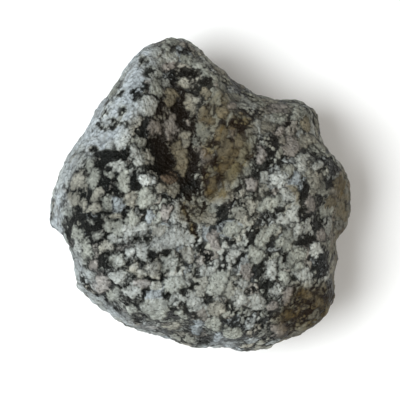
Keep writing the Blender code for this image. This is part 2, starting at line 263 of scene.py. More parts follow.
# Thin seams of glass between flakes: half-width, and the points in plan that each follows.
GLASS_SEAMS = (
    ("rim of the valley", 0.35, ((13, 7.5), (12, 6.25), (9, 1.25), (6.25, -1.75), (4.5, -4.25))),
    ("crest east of the valley", 0.3, ((10.75, 6), (14.75, 6.75), (15.5, 8.25))),
    ("eastern face, north", 0.3, ((14, 6.5), (16.25, 7.5), (18.5, 8.5))),
    ("eastern face, to its edge", 0.35, ((22.25, 9.25), (23.75, 10.5), (27, 9), (30.75, 8.5))),
    ("eastern face, slanting", 0.35, ((14, -6.25), (17, -3.25), (19.25, -2.75))),
    ("eastern face, upright", 0.35, ((23.25, -4.5), (23.5, -2.25), (24, 1.25))),
    ("eastern face, south", 0.35, ((18, -16.75), (17.5, -18), (17.25, -19.5))),
    ("south-east corner", 0.35, ((15.75, -26.75), (17.5, -28.25))),
    ("southern face, slanting", 0.35, ((9.75, -23.25), (11, -22), (12.5, -21.25))),
    ("western edge, level", 0.35, ((-32.75, -6.5), (-30.5, -7.5), (-28, -7.75))),
    ("south-western edge", 0.4, ((-27.5, -19), (-26.5, -21.5), (-24.75, -23), (-21.5, -23.5))),
    ("southern face, north", 0.2, ((-5, -14), (-4.75, -17))),
    ("southern face, north, level", 0.15, ((-4, -15.5), (-1.25, -15.25))),
    ("eastern face, falling", 0.35, ((9.25, -1.75), (11.75, -3.75), (13.25, -5.5))),
    ("southern tip", 0.25, ((5, -29.75), (8.75, -29.5))),
    ("eastern face, steep", 0.4, ((11.5, -10), (10.75, -11.75), (9.5, -14.25), (8, -16))),
    ("eastern face, bending", 0.35, ((17, -9.75), (16.25, -13), (14, -15.25), (13, -16.75))),
    ("middle, upright", 0.4, ((-2.5, -5.75), (-1.25, -7.5), (-1, -9.75))),
    ("middle, by the valley", 0.3, ((1, -1.75), (0.25, -4.25))),
    ("southern face, upright", 0.25, ((5.5, -13.5), (5.5, -16))),
    ("southern face, northern slant", 0.25, ((6.25, -15.5), (9.5, -14.25))),
    ("under the small flakes", 0.4, ((-17, -17.5), (-15.75, -19), (-12, -19), (-9.5, -18.75), (-8.5, -17.5))),
    ("southern face, west", 0.4, ((-2.5, -21), (-0.25, -19.75))),
    ("southern face, east", 0.4, ((8.5, -20.5), (9.75, -18.75))),
    ("southern face, level", 0.35, ((-0.25, -23.25), (2.75, -23.25))),
    ("southern face, low", 0.35, ((0.5, -24.75), (2.5, -25))),
    ("southern face, rising", 0.35, ((4, -26.5), (5.25, -25.25))),
    ("southern face, falling", 0.35, ((6.75, -26), (8.5, -27.25))),
    ("north-west edge", 0.45, ((-19, 24.5), (-21.5, 22.5), (-23, 20.5), (-22.75, 18.5))),
    ("north-west slope, level", 0.2, ((-26, 16.75), (-22, 16.25), (-19, 16.5))),
    ("north-west slope, upright", 0.15, ((-18, 20.5), (-18.75, 17.5))),
    ("below the peak, bending", 0.7, ((-4.5, 22.5), (-2.5, 23.25), (-0.75, 24.75), (0.5, 25.5))),
    ("beside the olive flake, east", 0.45, ((-5, 25), (-4.75, 20))),
    ("beside the olive flake, west", 0.35, ((-8.75, 25), (-8.75, 20.5))),
    ("peak, north", 0.3, ((-3, 35.5), (-1.5, 33.5), (0.5, 32.75))),
    ("peak, level", 0.3, ((-8, 28.5), (-4, 27.75), (0.5, 28.75))),
    # Painted shade: this dark seam follows the north-eastern crest where the rim curves away from the key
    # light.
    ("painted shade along the north-eastern crest", 0.45, ((2, 30.5), (6.5, 26.25), (11, 23.75), (16, 21.75))),
)

# The tones of the flakes, from the most stained to the palest and coolest. Each is an even step of one ramp.
FLAKE_TONES = (
    ("rust brown", "#75685a"),
    # The olive tone is partly painted shade: where it is drawn in the valley, on the shoulder, along the
    # eastern edge and in the south-east corner, its darker tone also paints in the shade of slopes facing
    # away from the key light.
    ("olive", "#7f7a6a"),
    ("smoky grey", "#84867f"),
    ("pinkish grey", "#918d87"),
    ("beige", "#96958a"),
    ("green-grey", "#95988f"),
    ("pale grey", "#a1a49e"),
    ("blue-grey", "#91989a"),
    ("chalk", "#b4b8b3"),
)

# Flakes that stand out, drawn as the pools are, under the name of their tone.
FLAKES = (
    ("western face", {
        "beige": (
            (-28.25, 3.25, 1.75, 2), (-24, 0.25, 1.75, 1.25, 40), (-12.25, 8.75, 1.5, 1.5),
            (-29.75, -1, 1.75, 1.75), (-27.25, -2.25, 0.75, 1.25), (-25, -2.5, 1.5, 1),
            (-22, -12, 2, 1.25, 20), (-19.75, -4.5, 1.25, 0.75, 20), (-16.25, -0.75, 1.5, 1.75),
            (-9.75, -8.25, 1.5, 1.5), (-9.25, 1.75, 1.25, 1.25),
        ),
        "green-grey": (
            (-25, 4, 1.5, 2.25), (-26, 7.25, 1.25, 1.5), (-21.5, 4.75, 0.75, 0.75), (-17.75, 3.5, 1.5, 2.75),
            (-21.5, -2, 1.25, 1.5), (-31.5, -4, 1.5, 1.5), (-28.75, -9, 1.5, 1.5), (-19, -8, 1.75, 2.25),
            (-16, -5, 1.5, 1.75), (-21.25, -6.75, 1.5, 1.5), (-27, -12.75, 1.25, 2.5),
            (-12.75, -0.5, 2, 2.25), (-9.75, -5, 1, 1.75),
        ),
        "pale grey": (
            (-19, 6.75, 1.75, 1.5), (-14.25, 7.75, 1, 1), (-15.5, 10, 1.25, 1.75),
            (-15.75, 5.75, 0.25, 1, -20), (-16, -8.5, 1.75, 1.75), (-16.75, -9.75, 1.25, 1.25),
            (-19.5, -9.75, 1.5, 1.25), (-28.75, -12.5, 1.25, 1.75, -15), (-27.5, -15.5, 1, 1.25),
            (-13.5, -7.25, 2, 1.5), (-10, -11.25, 1.5, 1.5), (-16.25, -13, 1.25, 1.25),
            (-13.25, -13, 1.25, 1.75),
        ),
        "smoky grey": ((-23.75, -9.5, 1, 0.5), (-25.75, -6, 0.75, 0.5, -30), (-22.75, -5, 0.75, 0.5, 20)),
        "blue-grey": ((-19.5, -2, 1.5, 1.5), (-11.75, -5, 1, 1.5)),
        "chalk": ((-12.5, 3.75, 1.75, 1.5),),
    }),
    ("valley and peak", {
        "rust brown": ((-7.25, 4, 1.75, 1.25, -30),),
        # Painted shade with the olive tone on the valley's shaded walls.
        "olive": (
            (-7, 22.25, 1.25, 2.25), (-4.75, 9, 1.5, 4.25, 8), (0.75, 19.25, 1.25, 1.75),
            (1.25, 17.75, 1.75, 1.25), (4.25, 14.25, 1.25, 2), (5, 19.25, 1, 1.75), (0.75, 23.75, 1.25, 1),
            (5.5, 10.75, 1.25, 2.5, -30), (7.25, 9, 1.25, 2.25, -30), (4.75, 6.25, 1, 1.75, -25),
            (2.25, 2, 1, 2.25, -25), (5.75, 8, 0.75, 1.5, -30),
        ),
        "smoky grey": ((-10.5, 31, 2.25, 1), (-0.75, 33.75, 1.25, 0.75, -45)),
        "beige": (
            (-6.25, 1.5, 1.5, 1.75), (-4, 25.5, 1.5, 1.25), (-2.25, 21.75, 1.5, 1.75),
            (-9.25, 18.5, 0.75, 0.75), (-4, 13.5, 1.5, 1.5), (-1.75, 20.25, 1, 1.25),
            (8.75, 12.75, 1.25, 1.25), (1.5, -5.25, 1.75, 1.5), (9, -5, 1.5, 1.5), (11.25, -2.5, 1.25, 1.25),
        ),
        "green-grey": (
            (-3.25, 31.5, 1.5, 1, -40), (1.25, 28.75, 1, 1.5, 20), (-7.5, 34.25, 1, 2),
            (-9.75, 24.75, 1.25, 2, 20), (7, -8, 1.75, 1.5), (0.5, 14.75, 1.25, 2.25),
            (11.25, 12, 2.5, 1, 60), (9.25, 9, 2.25, 1, 60), (10.5, 6.5, 1.5, 1, 60),
            (7.25, 5.25, 2.25, 1.25, 60), (8, 2.75, 1.75, 1, 60),
        ),
        "pale grey": (
            (-11, 33.5, 2, 2), (-12, 20.75, 2, 2.5), (-6, -9.75, 3, 2.75), (4.5, 0, 1.25, 2.5, -25),
            (5.75, 1.75, 1, 1.25, -25),
        ),
        "pinkish grey": (
            (-7.25, 15.75, 1.25, 3, -10), (-10.5, 15.5, 1.5, 1.5), (-2.75, 16.75, 0.5, 0.5),
            (-7.5, 29.75, 1.75, 1), (0.75, 9, 1.25, 1.75), (7.25, 20.75, 1.5, 1), (7, 14.75, 0.75, 1),
            (-8.25, -4, 1.75, 1.75), (3.25, -10.25, 1, 2.75, 20),
        ),
    }),
    ("eastern face", {
        # Painted shade with the olive tone on the shoulder, the eastern edge and the south-east corner.
        "olive": (
            (27.5, -24.25, 1.5, 1.25), (20.25, -27.75, 1.75, 1, 15), (24.5, -23.25, 1.25, 1.25),
            (32, 2.5, 1.25, 1.5), (30.5, -1.5, 0.75, 1.25), (24.75, 16.25, 1.75, 1.75),
            (21.75, 0.5, 0.75, 1.75, 15),
        ),
        "beige": (
            (24.5, 12.75, 1.75, 1.5), (15.25, 16, 1.25, 1.25), (26.5, 3.5, 1.75, 2), (33, -0.5, 1, 1.25),
            (32.5, -4, 1.5, 1.5),
        ),
        "blue-grey": ((21.75, 4, 1, 1.75, -20),),
        "green-grey": (
            (18, 17.5, 1.5, 1.25), (21.75, 18.75, 1.25, 1.25), (15.75, -2.25, 3, 1.25, 28),
            (14.75, -9.75, 1.75, 3, -35), (19.25, -11.5, 2, 1.5), (21.75, -14, 2, 1.5, 15),
            (19.25, -19, 1.25, 1.5), (13, -13.75, 1.5, 1.75), (22.75, -16.25, 1.25, 1.25),
        ),
        "pale grey": (
            (23.5, 7.5, 1.25, 2.5, -15), (14.5, 4.25, 1, 1.75), (20, 0, 1.25, 1.5), (27, 7, 1.25, 1.25),
            (21.5, -4.5, 1.25, 2), (18.75, -6, 2, 1.75), (22.5, -7.75, 1.5, 1.5), (16, -17.5, 1.75, 2.5),
            (23.5, -18.25, 2, 1.75), (24.75, -20.5, 1.25, 1), (17.5, -22, 1.25, 1.25),
            (13, -24.75, 1.75, 1.75),
        ),
        "pinkish grey": (
            (16.25, -25.5, 1, 1), (20, -23.25, 2.25, 1.25, 55), (18.25, -31.25, 1.75, 1.25, 15),
            (25.5, -2.25, 1.25, 1.75), (27.75, -9.25, 1, 1.5), (18, 20.75, 2.5, 1.25, -10),
            (11.75, 3, 1.5, 1.75), (11, -17.5, 1.25, 1.5), (21, 11, 2, 2.5), (18.25, 14.75, 1.25, 1),
            (14, 9.5, 1.25, 1.75, -20),
        ),
        "chalk": ((17.5, 3.5, 2.25, 2), (26.5, -12.75, 1.5, 1.75)),
    }),
    ("southern face", {
        "beige": (
            (-3, -13.75, 1.25, 1.5), (-7.25, -30.5, 2.5, 1.25, 10), (3.25, -26.25, 1.75, 1.75),
            (-16, -16.75, 1, 1.25, -30), (-14.25, -17.75, 1.25, 1), (-12.25, -16.5, 1.25, 1),
            (-10, -16.25, 0.75, 1), (-10.75, -18, 1.25, 0.75),
        ),
        "green-grey": (
            (-19.5, -14.75, 1.5, 1.75), (-20, -23, 1.25, 1.75), (-16, -26.75, 1.25, 1.5),
            (-7.25, -15.5, 1.75, 1.75), (-6, -20.5, 2.25, 1.75), (-4.5, -27.75, 1, 1.25),
            (-10.5, -26.25, 3.5, 3), (3, -30.25, 2, 1.75), (7.5, -32.25, 2.25, 1.75),
        ),
        "pale grey": (
            (-19, -18.75, 2, 1.75, 10), (-16, -22.25, 2, 1.5), (-1.5, -24.75, 1.5, 1.5), (9, -24, 2, 1.75),
            (10, -20, 1.25, 1),
        ),
        "blue-grey": ((-1, -30.5, 1.5, 1.5), (-10.75, -23.25, 2, 1.25), (4, -32.75, 1.5, 1.25)),
        "pinkish grey": ((-25, -16.5, 0.75, 1.5), (-23, -20.5, 1.75, 2), (-13.75, -20.5, 2, 1.25)),
    }),
)

# Skin that weather changed, drawn as the pools are, with how strong the change is and how soft its edge. The
# brown
# stain is partly painted shade: in the valley, along the north-east and eastern edges and in the south-east
# corner it also darkens slopes that face away from the key light.
STAINS_AND_SHADE = (
    # Painted shade with the stain: the valley's eastern wall, floor and foot and the vein in its crease lie
    # away from the key light.
    ("eastern wall of the valley", (6, 9, 5, 11, -22), 1.3, 5.0),
    ("floor of the valley", (-5.5, 14, 6, 12, 5), 0.5, 4.0),
    ("foot of the rusty flake", (-6.75, 2.5, 3, 2.5), 0.45, 2.0),
    ("foot of the valley", (-1.5, -3, 4, 4), 0.6, 3.0),
    ("vein below the valley", (-2.75, -5.5, 1.0, 4.5, 23), 0.9, 1.5),
    # Painted shade with the stain: the south-east corner and the eastern edge face away from the key light.
    ("south-east corner", (26, -27.5, 9, 7, 30), 1.0, 5.0),
    ("eastern edge", (33, -3, 3, 10), 0.7, 4.0),
    # Painted shade with the stain along the north-east edge, which curves away from the key light.
    ("north-east edge", (12, 20, 14, 5, -30), 0.3, 5.0),
    ("shoulder", (22, 15, 8, 8), 0.25, 5.0),
    # Painted shade with the stain on the valley's eastern side.
    ("eastern flakes of the valley", (3, 16, 4, 9, -10), 0.7, 3.0),
    ("peak", (-1, 29, 9, 9), 0.2, 6.0),
    ("eastern notch", (31.5, -15, 2, 7), 0.5, 3.0),
    ("eastern face", (21, -2, 12, 14), 0.15, 8.0),
)
# Bleaching, partly painted light: on the north-west slope and along the western, south-western and southern
# edges, which face the key light, the pale chalky skin also paints in their lit brightness.
BLEACHED_AND_LIT = (
    ("north-west slope", (-19.5, 22.5, 15, 6, 63), 1.0, 4.0),
    ("western edge, north", (-31.5, 6.5, 8, 2, 66), 0.8, 2.5),
    ("western edge, south", (-34, -4, 3, 12), 0.9, 3.0),
    ("south-western edge", (-27.5, -19, 9, 2, -62), 0.7, 3.0),
    ("southern edge", (-16, -30.5, 14, 2.5, -28), 0.6, 3.0),
    ("southern tip", (4, -34.5, 5, 2, -5), 0.8, 2.0),
    ("southern face", (-11, -17, 12, 11), 0.25, 8.0),
)
# Where the weathered skin is so thick that it hides the pattern and leaves only specks of it.
THICK_SKIN = (
    ("north-west slope", (-19.5, 22.5, 15, 6, 63), 0.65, 4.0),
    ("western edge, north", (-31.5, 6.5, 8, 2, 66), 0.7, 2.5),
    ("western edge, south", (-34.5, -4, 2, 12), 0.7, 3.0),
    ("south-western edge", (-28, -18.5, 9, 1.5, -62), 0.7, 2.0),
    ("southern edge", (-18, -29, 14, 1.6, -30), 0.7, 2.0),
    ("southern tip", (4, -34.5, 4, 1.5, -5), 0.5, 2.0),
    ("eastern wall of the valley", (6.5, 8, 3.5, 9, -22), 0.45, 4.0),
    ("crest of the shoulder", (12, 20, 12, 3, -30), 0.4, 4.0),
    ("eastern edge", (34, -3, 3, 9), 0.3, 3.0),
    ("peak", (-1, 34, 7, 3), 0.35, 3.0),
    ("eastern notch", (31.5, -15, 1.5, 7), 0.8, 2.0),
    ("south-eastern edge", (25, -32.5, 7, 1.5, 42), 0.8, 2.0),
)
# Where flakes crowd into one mass with only creases in it.
CROWDED = (
    ("south", (-1, -19, 15, 11, 15), 1.0, 7.0),
    ("middle", (4, -7, 12, 6, 20), 0.65, 6.0),
    ("western rim of the valley", (-12, -8, 5, 7), 0.55, 4.0),
    ("east", (19, -8, 9, 16, -20), 0.5, 6.0),
    ("valley's eastern side", (3, 13, 4, 11, -15), 0.5, 4.0),
    ("shoulder", (20, 17, 12, 7, -20), 0.4, 5.0),
    ("eastern edge", (32, -2, 4, 11), 0.9, 4.0),
    ("peak", (-1, 31, 8, 8), 0.75, 5.0),
    ("north-west slope", (-20.5, 20.5, 17, 7, 63), 1.0, 4.0),
    ("south-western edge", (-22, -25, 11, 3, -40), 0.6, 4.0),
    ("south-east corner", (25, -26, 9, 7, 30), 0.2, 5.0),
    ("western edge", (-34, 3, 4, 12, -15), 1.0, 3.0),
)
# Where flakes stand further apart than elsewhere.
SCATTERED = (
    ("western face", (-24, 0.5, 8.5, 11.5), 1.0, 5.0),
    ("south-western face", (-15, -22, 9, 9), 0.35, 5.0),
    ("valley", (-6, 13, 5, 12, 5), 0.35, 4.0),
)


def linear(code):
    """A colour written as #rrggbb, in the linear values that shaders take."""
    parts = [int(code[start:start + 2], 16) / 255 for start in (1, 3, 5)]
    return [part / 12.92 if part <= 0.04045 else ((part + 0.055) / 1.055) ** 2.4 for part in parts]


def length_setting(name, description, millimetres):
    """A length that the sidebar offers."""
    return FloatProperty(
        name=name, description=description, default=millimetres * MM, unit="LENGTH", precision=5
    )


def colour_setting(name, description, code):
    """A colour that the sidebar offers."""
    return FloatVectorProperty(
        name=name, description=description, default=linear(code), subtype="COLOR", size=3, min=0, max=1
    )


class StoneSizes(bpy.types.PropertyGroup):
    """Sizes of the stone's fine form and of its pattern."""

    refinement: IntProperty(
        name="Refinement", description="Times that each face of the solid is split in four", default=2, min=0,
        max=2,
    )
    flake_spacing: length_setting("Flake spacing", "Mean distance between the middles of flakes", 3.4)
    flake_relief: length_setting("Flake relief", "How far flakes stand above bare glass", 0.42)
    roughness_height: length_setting("Weathered roughness", "Height of the weathered skin's unevenness", 0.40)
    roughness_width: length_setting("Weathered roughness width", "Width of its largest bumps", 4.5)
    skin_rise: length_setting("Skin rise", "How far the highest bumps stand out of the solid", 0.30)
    seam_width: length_setting("Seam width", "Width of the glass seam between two flakes that meet", 0.45)
    ragged: length_setting("Raggedness", "How far the edge of a flake wanders", 0.42)
    grain_size: length_setting("Grain size", "Size of the grains that give a flake its crenulated edge", 1.1)
    grain_step: length_setting("Grain step", "How far grains stick out of a flake's edge", 0.75)


class StoneColours(bpy.types.PropertyGroup):
    """Colours of the stone. Those of the flakes are in FLAKE_TONES."""

    glass: colour_setting("Glass", "Bare obsidian", "#090c0a")
    glass_brown: colour_setting("Brown glass", "Obsidian with a trace of iron", "#1a1109")
    # The stain's brown-olive film also serves as painted shade on slopes that face away from the key light.
    stain: colour_setting("Iron stain", "Brown-olive film on weathered skin", "#a39273")
    # The bleached skin's pale bluish colour also serves as painted light on rims that face the key light.
    bleach: colour_setting("Bleached skin", "Skin that the weather turned chalky", "#a4abae")


class StageLook(bpy.types.PropertyGroup):
    """The floor and the lights."""

    floor: colour_setting("Floor", "Matt painted board", "#f4f4f3")
    key_power: FloatProperty(
        name="Key light", description="Power of the soft box on the left", default=6.0, min=0, unit="POWER"
    )
    fill_power: FloatProperty(
        name="Fill light", description="Power of the warm fill on the right", default=0.95, min=0,
        unit="POWER",
    )
    room_light: FloatProperty(
        name="Room light", description="Strength of the even light from all sides", default=0.38, min=0
    )


def add(tree, kind, settings=None, inputs=None):
    """Adds a node, sets it up, and returns its outputs; an input is a value or the socket that feeds it."""
    made = tree.nodes.new(kind)
    for name, value in (settings or {}).items():
        setattr(made, name, value)
    for name, value in (inputs or {}).items():
        if isinstance(value, bpy.types.NodeSocket):
            tree.links.new(value, made.inputs[name])
        else:
            made.inputs[name].default_value = value
    return made.outputs


def calculate(tree, settings, *values):
    """Adds a node that calculates with numbers, and returns its result."""
    return add(tree, MATH, settings, dict(enumerate(values)))[0]


def remap(tree, value, span, settings=None):
    """Adds a node that maps one span of numbers to another, and returns its result."""
    return add(tree, RANGE, settings, {"Value": value, **span})[0]


def snowflake_pattern(tree, place, marks, sizes):
    """Adds the nodes of the pattern, which the relief and the material share, at a place in millimetres.

    Returns sockets: flake, the depth inside a flake in millimetres, negative in glass; drawn, 1 where the
    flake is a drawn one; cell, three random numbers for each flake that isn't drawn; grain, three for each
    grain; lobes, how far a grain stands out there in millimetres, negative in the creases between grains.
    """
    spacing, grain_size, ragged = sizes.flake_spacing / MM, sizes.grain_size / MM, sizes.ragged / MM
    sway = add(tree, NOISE, {}, {"Vector": place, **SWAY})
    far = ragged * SWAY_REACH
    shift = add(tree, VECTOR_MATH, TIMES_PLUS, {0: sway["Color"], 1: (far,) * 3, 2: (-far / 2,) * 3})[0]
    swayed = add(tree, VECTOR_MATH, PLUS, {0: place, 1: shift})[0]

    # A flake is a cluster of round grains: they bulge from its edge and leave fine creases between them.
    grains = add(tree, CELLS, {}, {"Vector": swayed, "Scale": 1 / grain_size})
    grain = add(tree, "ShaderNodeSeparateXYZ", {}, {0: grains["Color"]})
    step = sizes.grain_step / MM / 2
    lobes = remap(tree, grains["Distance"], {**GRAIN_SPAN, "To Min": step, "To Max": -step})
    seen = add(tree, MIX, {"data_type": "VECTOR"},
               {"Factor": GRAIN_PULL, "A": swayed, "B": grains["Position"]})["Result"]
    seen = along_flow(tree, seen, FLOW_STRETCH)
    lookup = {"Vector": seen, "Scale": 1 / spacing}
    cells = add(tree, CELLS, {}, lookup)
    edges = add(tree, CELLS, {"feature": "DISTANCE_TO_EDGE"}, lookup)["Distance"]
    cell = add(tree, "ShaderNodeSeparateXYZ", {}, {0: cells["Color"]})

    # A flake grows from the middle of its cell, to its own reach or until it meets the next one. The seam
    # where two meet opens and closes along its length.
    drift = add(tree, NOISE, {}, {"Vector": place, **DRIFT})[0]
    reach = remap(tree, cell["X"], REACHES)
    sparse = remap(tree, drift, THINNING)
    undrawn = calculate(tree, MINUS, 1.0, marks["marked"])
    reach = calculate(tree, TIMES_PLUS, sparse, undrawn, reach)
    reach = calculate(tree, TIMES_PLUS, marks["crowded"], CROWDED_REACH, reach)
    own = calculate(tree, MINUS, reach, cells["Distance"])
    seam = {"To Min": -SEAM_OVERLAP / spacing, "To Max": sizes.seam_width / MM / spacing}
    opening = remap(tree, sway["Color"], {**SEAM_SPAN, **seam})
    opening = calculate(tree, TIMES_PLUS, marks["crowded"], -CROWDED_OVERLAP / spacing, opening)
    shared = calculate(tree, MINUS, edges, opening)
    grown = calculate(tree, SMALLER, own, shared)
    grown = calculate(tree, TIMES_PLUS, grown, spacing, lobes)

    # The drawn marks get ragged, lobed edges of the same grains, and grown flakes keep clear of them.
    frayed = remap(tree, sway[0], {**FRAY_SPAN, "To Min": -ragged, "To Max": ragged})
    frayed = calculate(tree, PLUS, frayed, lobes)
    bare = calculate(tree, TIMES, marks["glass"], POOL_EDGE)
    bare = calculate(tree, MINUS, frayed, bare)
    bare = calculate(tree, TIMES, bare, POOL_STEEPNESS)
    grown = calculate(tree, SMALLER, grown, bare)
    drawn = calculate(tree, TIMES_PLUS, frayed, FLAKE_FRAY, marks["flake"])
    drawn = calculate(tree, PLUS, drawn, FLAKE_GROWTH)
    clear = calculate(tree, TIMES_PLUS, drawn, CLEARANCE_RAMP, -CLEARANCE)
    merged = calculate(tree, LARGER, marks["crowded"], 0.0)
    clear = calculate(tree, TIMES_PLUS, merged, CROWDED_CLEARANCE, clear)
    grown = calculate(tree, SMALLER, grown, clear)
    flake = calculate(tree, LARGER, grown, drawn)
    inside = calculate(tree, {"operation": "GREATER_THAN"}, drawn, DRAWN_EDGE)
    return {"flake": flake, "drawn": inside, "cell": cell, "grain": grain, "lobes": lobes}


def along_flow(tree, place, stretch):
    """Adds the nodes that draw a pattern out along the flow, and returns the place to look it up at."""
    turned = add(tree, "ShaderNodeVectorRotate", {"rotation_type": "Z_AXIS"},
                 {"Vector": place, "Angle": -math.radians(FLOW_TURN)})[0]
    return add(tree, VECTOR_MATH, TIMES, {0: turned, 1: (1 / stretch, 1.0, 1.0)})[0]


def relief_nodes(sizes):
    """A geometry node group that raises the skin's fine relief along its normals."""
    tree = bpy.data.node_groups.new("fine relief", "GeometryNodeTree")
    tree.interface.new_socket("Geometry", in_out="INPUT", socket_type="NodeSocketGeometry")
    tree.interface.new_socket("Geometry", in_out="OUTPUT", socket_type="NodeSocketGeometry")
    skin = add(tree, "NodeGroupInput")[0]
    position = add(tree, "GeometryNodeInputPosition")[0]
    place = add(tree, VECTOR_MATH, {"operation": "SCALE"}, {0: position, "Scale": 1 / MM})[0]
    marks = {
        name: add(tree, "GeometryNodeInputNamedAttribute", NUMBERS, {"Name": name})[0]
        for name in ("glass", "flake", "marked", "crowded")
    }
    pattern = snowflake_pattern(tree, place, marks, sizes)
    sides = {**FLAKE_SIDES, "To Min": -sizes.flake_relief, "To Max": 0.0}
    raised = remap(tree, pattern["flake"], sides, SOFT_STEP)
    bumps = add(tree, NOISE, {}, {"Vector": place, "Scale": MM / sizes.roughness_width, **BUMPS})[0]
    top = sizes.skin_rise
    foot = top - 2 * sizes.roughness_height
    bumps = remap(tree, bumps, {**BUMP_SPAN, "To Min": foot, "To Max": top})
    height = calculate(tree, PLUS, raised, bumps)
    level = add(tree, "ShaderNodeSeparateXYZ", {}, {0: place})["Z"]
    fade = remap(tree, level, FOOT_FADE)
    height = calculate(tree, TIMES, height, fade)
    normal = add(tree, "GeometryNodeInputNormal")[0]
    offset = add(tree, VECTOR_MATH, {"operation": "SCALE"}, {0: normal, "Scale": height})[0]
    moved = add(tree, "GeometryNodeSetPosition", {}, {"Geometry": skin, "Offset": offset})[0]
    add(tree, "NodeGroupOutput", {}, {0: moved})
    return tree


def ellipse_depth(plan, x, y, along, across, turn=0):
    """How deep plan points lie inside a turned ellipse, in about millimetres; negative outside it."""
    cos, sin = math.cos(math.radians(turn)), math.sin(math.radians(turn))
    east, north = plan[:, 0] - x, plan[:, 1] - y
    first, second = (east * cos + north * sin) / along, (north * cos - east * sin) / across
    scaled = np.hypot(first, second)
    steepness = np.hypot(first / along, second / across)
    return scaled * (1 - scaled) / np.maximum(steepness, SMALLEST)


def line_depth(plan, half_width, points):
    """How deep plan points lie inside a thick line."""
    nearest = np.full(len(plan), np.inf)
    for start, end in zip(np.array(points[:-1], float), np.array(points[1:], float)):
        run = end - start
        share = np.clip((plan - start) @ run / (run @ run), 0, 1)
        nearest = np.minimum(nearest, np.linalg.norm(plan - start - share[:, None] * run, axis=1))
    return half_width - nearest


def soft_zone(plan, zones):
    """Strength of the strongest of some soft-edged ellipses at plan points."""
    strongest = np.zeros(len(plan))
    for _, ellipse, strength, softness in zones:
        share = np.clip(ellipse_depth(plan, *ellipse) / softness + 0.5, 0, 1)
        strongest = np.maximum(strongest, strength * share * share * (3 - 2 * share))
    return strongest


def fade_in(values, levels):
    """0 up to the first level, 1 from the second one, and even in between."""
    start, full = levels
    return np.clip((values - start) / (full - start), 0, 1)


def noise_at(places, width, start):
    """Smooth noise of a width at some places, from -1 to 1; start says where in the noise it begins."""
    return np.array([noise.noise(Vector(place) / width + Vector(start)) for place in places])


def draw_marks(mesh):
    """Writes where glass, flakes and weathered skin are drawn, as attributes of the mesh's points; the stain
    marks also carry painted shade and the bleach marks painted light.
    """
    count = len(mesh.vertices)
    places, normals = np.empty(count * 3), np.empty(count * 3)
    mesh.vertices.foreach_get("co", places)
    mesh.vertices.foreach_get("normal", normals)
    places, normals = places.reshape(-1, 3), normals.reshape(-1, 3)
    eye = np.array(CAMERA_PLACE)
    sight = eye - places
    facing = (normals * sight).sum(axis=1) / np.linalg.norm(sight, axis=1)
    marked, seen = fade_in(facing, MARKS_FACING), fade_in(facing, ZONES_FACING)
    spread = (eye[2] - MARKING_LEVEL) / (eye[2] - places[:, 2])
    plan = (eye[:2] - sight[:, :2] * spread[:, None]) / MM
    for stray, width in WANDERS:
        for axis, start in enumerate(WANDER_STARTS):
            plan[:, axis] += stray * noise_at(places, width, start)

    glass = np.full(count, NO_MARK)
    for _, pools in GLASS_POOLS:
        for pool in pools:
            glass = np.maximum(glass, ellipse_depth(plan, *pool))
    for _, half_width, points in GLASS_SEAMS:
        glass = np.maximum(glass, line_depth(plan, half_width, points))
    flake, second = np.full(count, NO_MARK), np.full(count, NO_MARK)
    tone = np.zeros(count)
    tone_steps = {name: (step + 0.5) / len(FLAKE_TONES) for step, (name, _) in enumerate(FLAKE_TONES)}
    for _, groups in FLAKES:
        for name, ellipses in groups.items():
            for ellipse in ellipses:
                depth = ellipse_depth(plan, *ellipse)
                tone = np.where(depth > flake, tone_steps[name], tone)
                second = np.maximum(second, np.minimum(flake, depth))
                flake = np.maximum(flake, depth)
    flake = np.minimum(flake, FLAKE_SEAM + FLAKE_PARTING * (flake - second))

    glass = NO_MARK + (glass - NO_MARK) * marked
    flake = NO_MARK + (flake - NO_MARK) * marked
    window = fade_in(noise_at(places, WINDOW_WIDTH, WINDOW_START), WINDOW_LEVELS) * (1 - marked)
    covered = np.clip(-glass / GLASS_MARGIN, 0, 1) * (1 - window)
    attributes = {
        "marked": marked,
        "glass": glass,
        "flake": flake,
        "tone": tone,
        "stain": soft_zone(plan, STAINS_AND_SHADE) * seen,
        "bleach": soft_zone(plan, BLEACHED_AND_LIT) * seen * covered,
        "skin": soft_zone(plan, THICK_SKIN) * seen * covered,
        "crowded": (soft_zone(plan, CROWDED) * covered - soft_zone(plan, SCATTERED)) * seen,
    }
    for name, values in attributes.items():
        attribute = mesh.attributes.new(name, "FLOAT", "POINT")
        attribute.data.foreach_set("value", values.astype(np.float32))


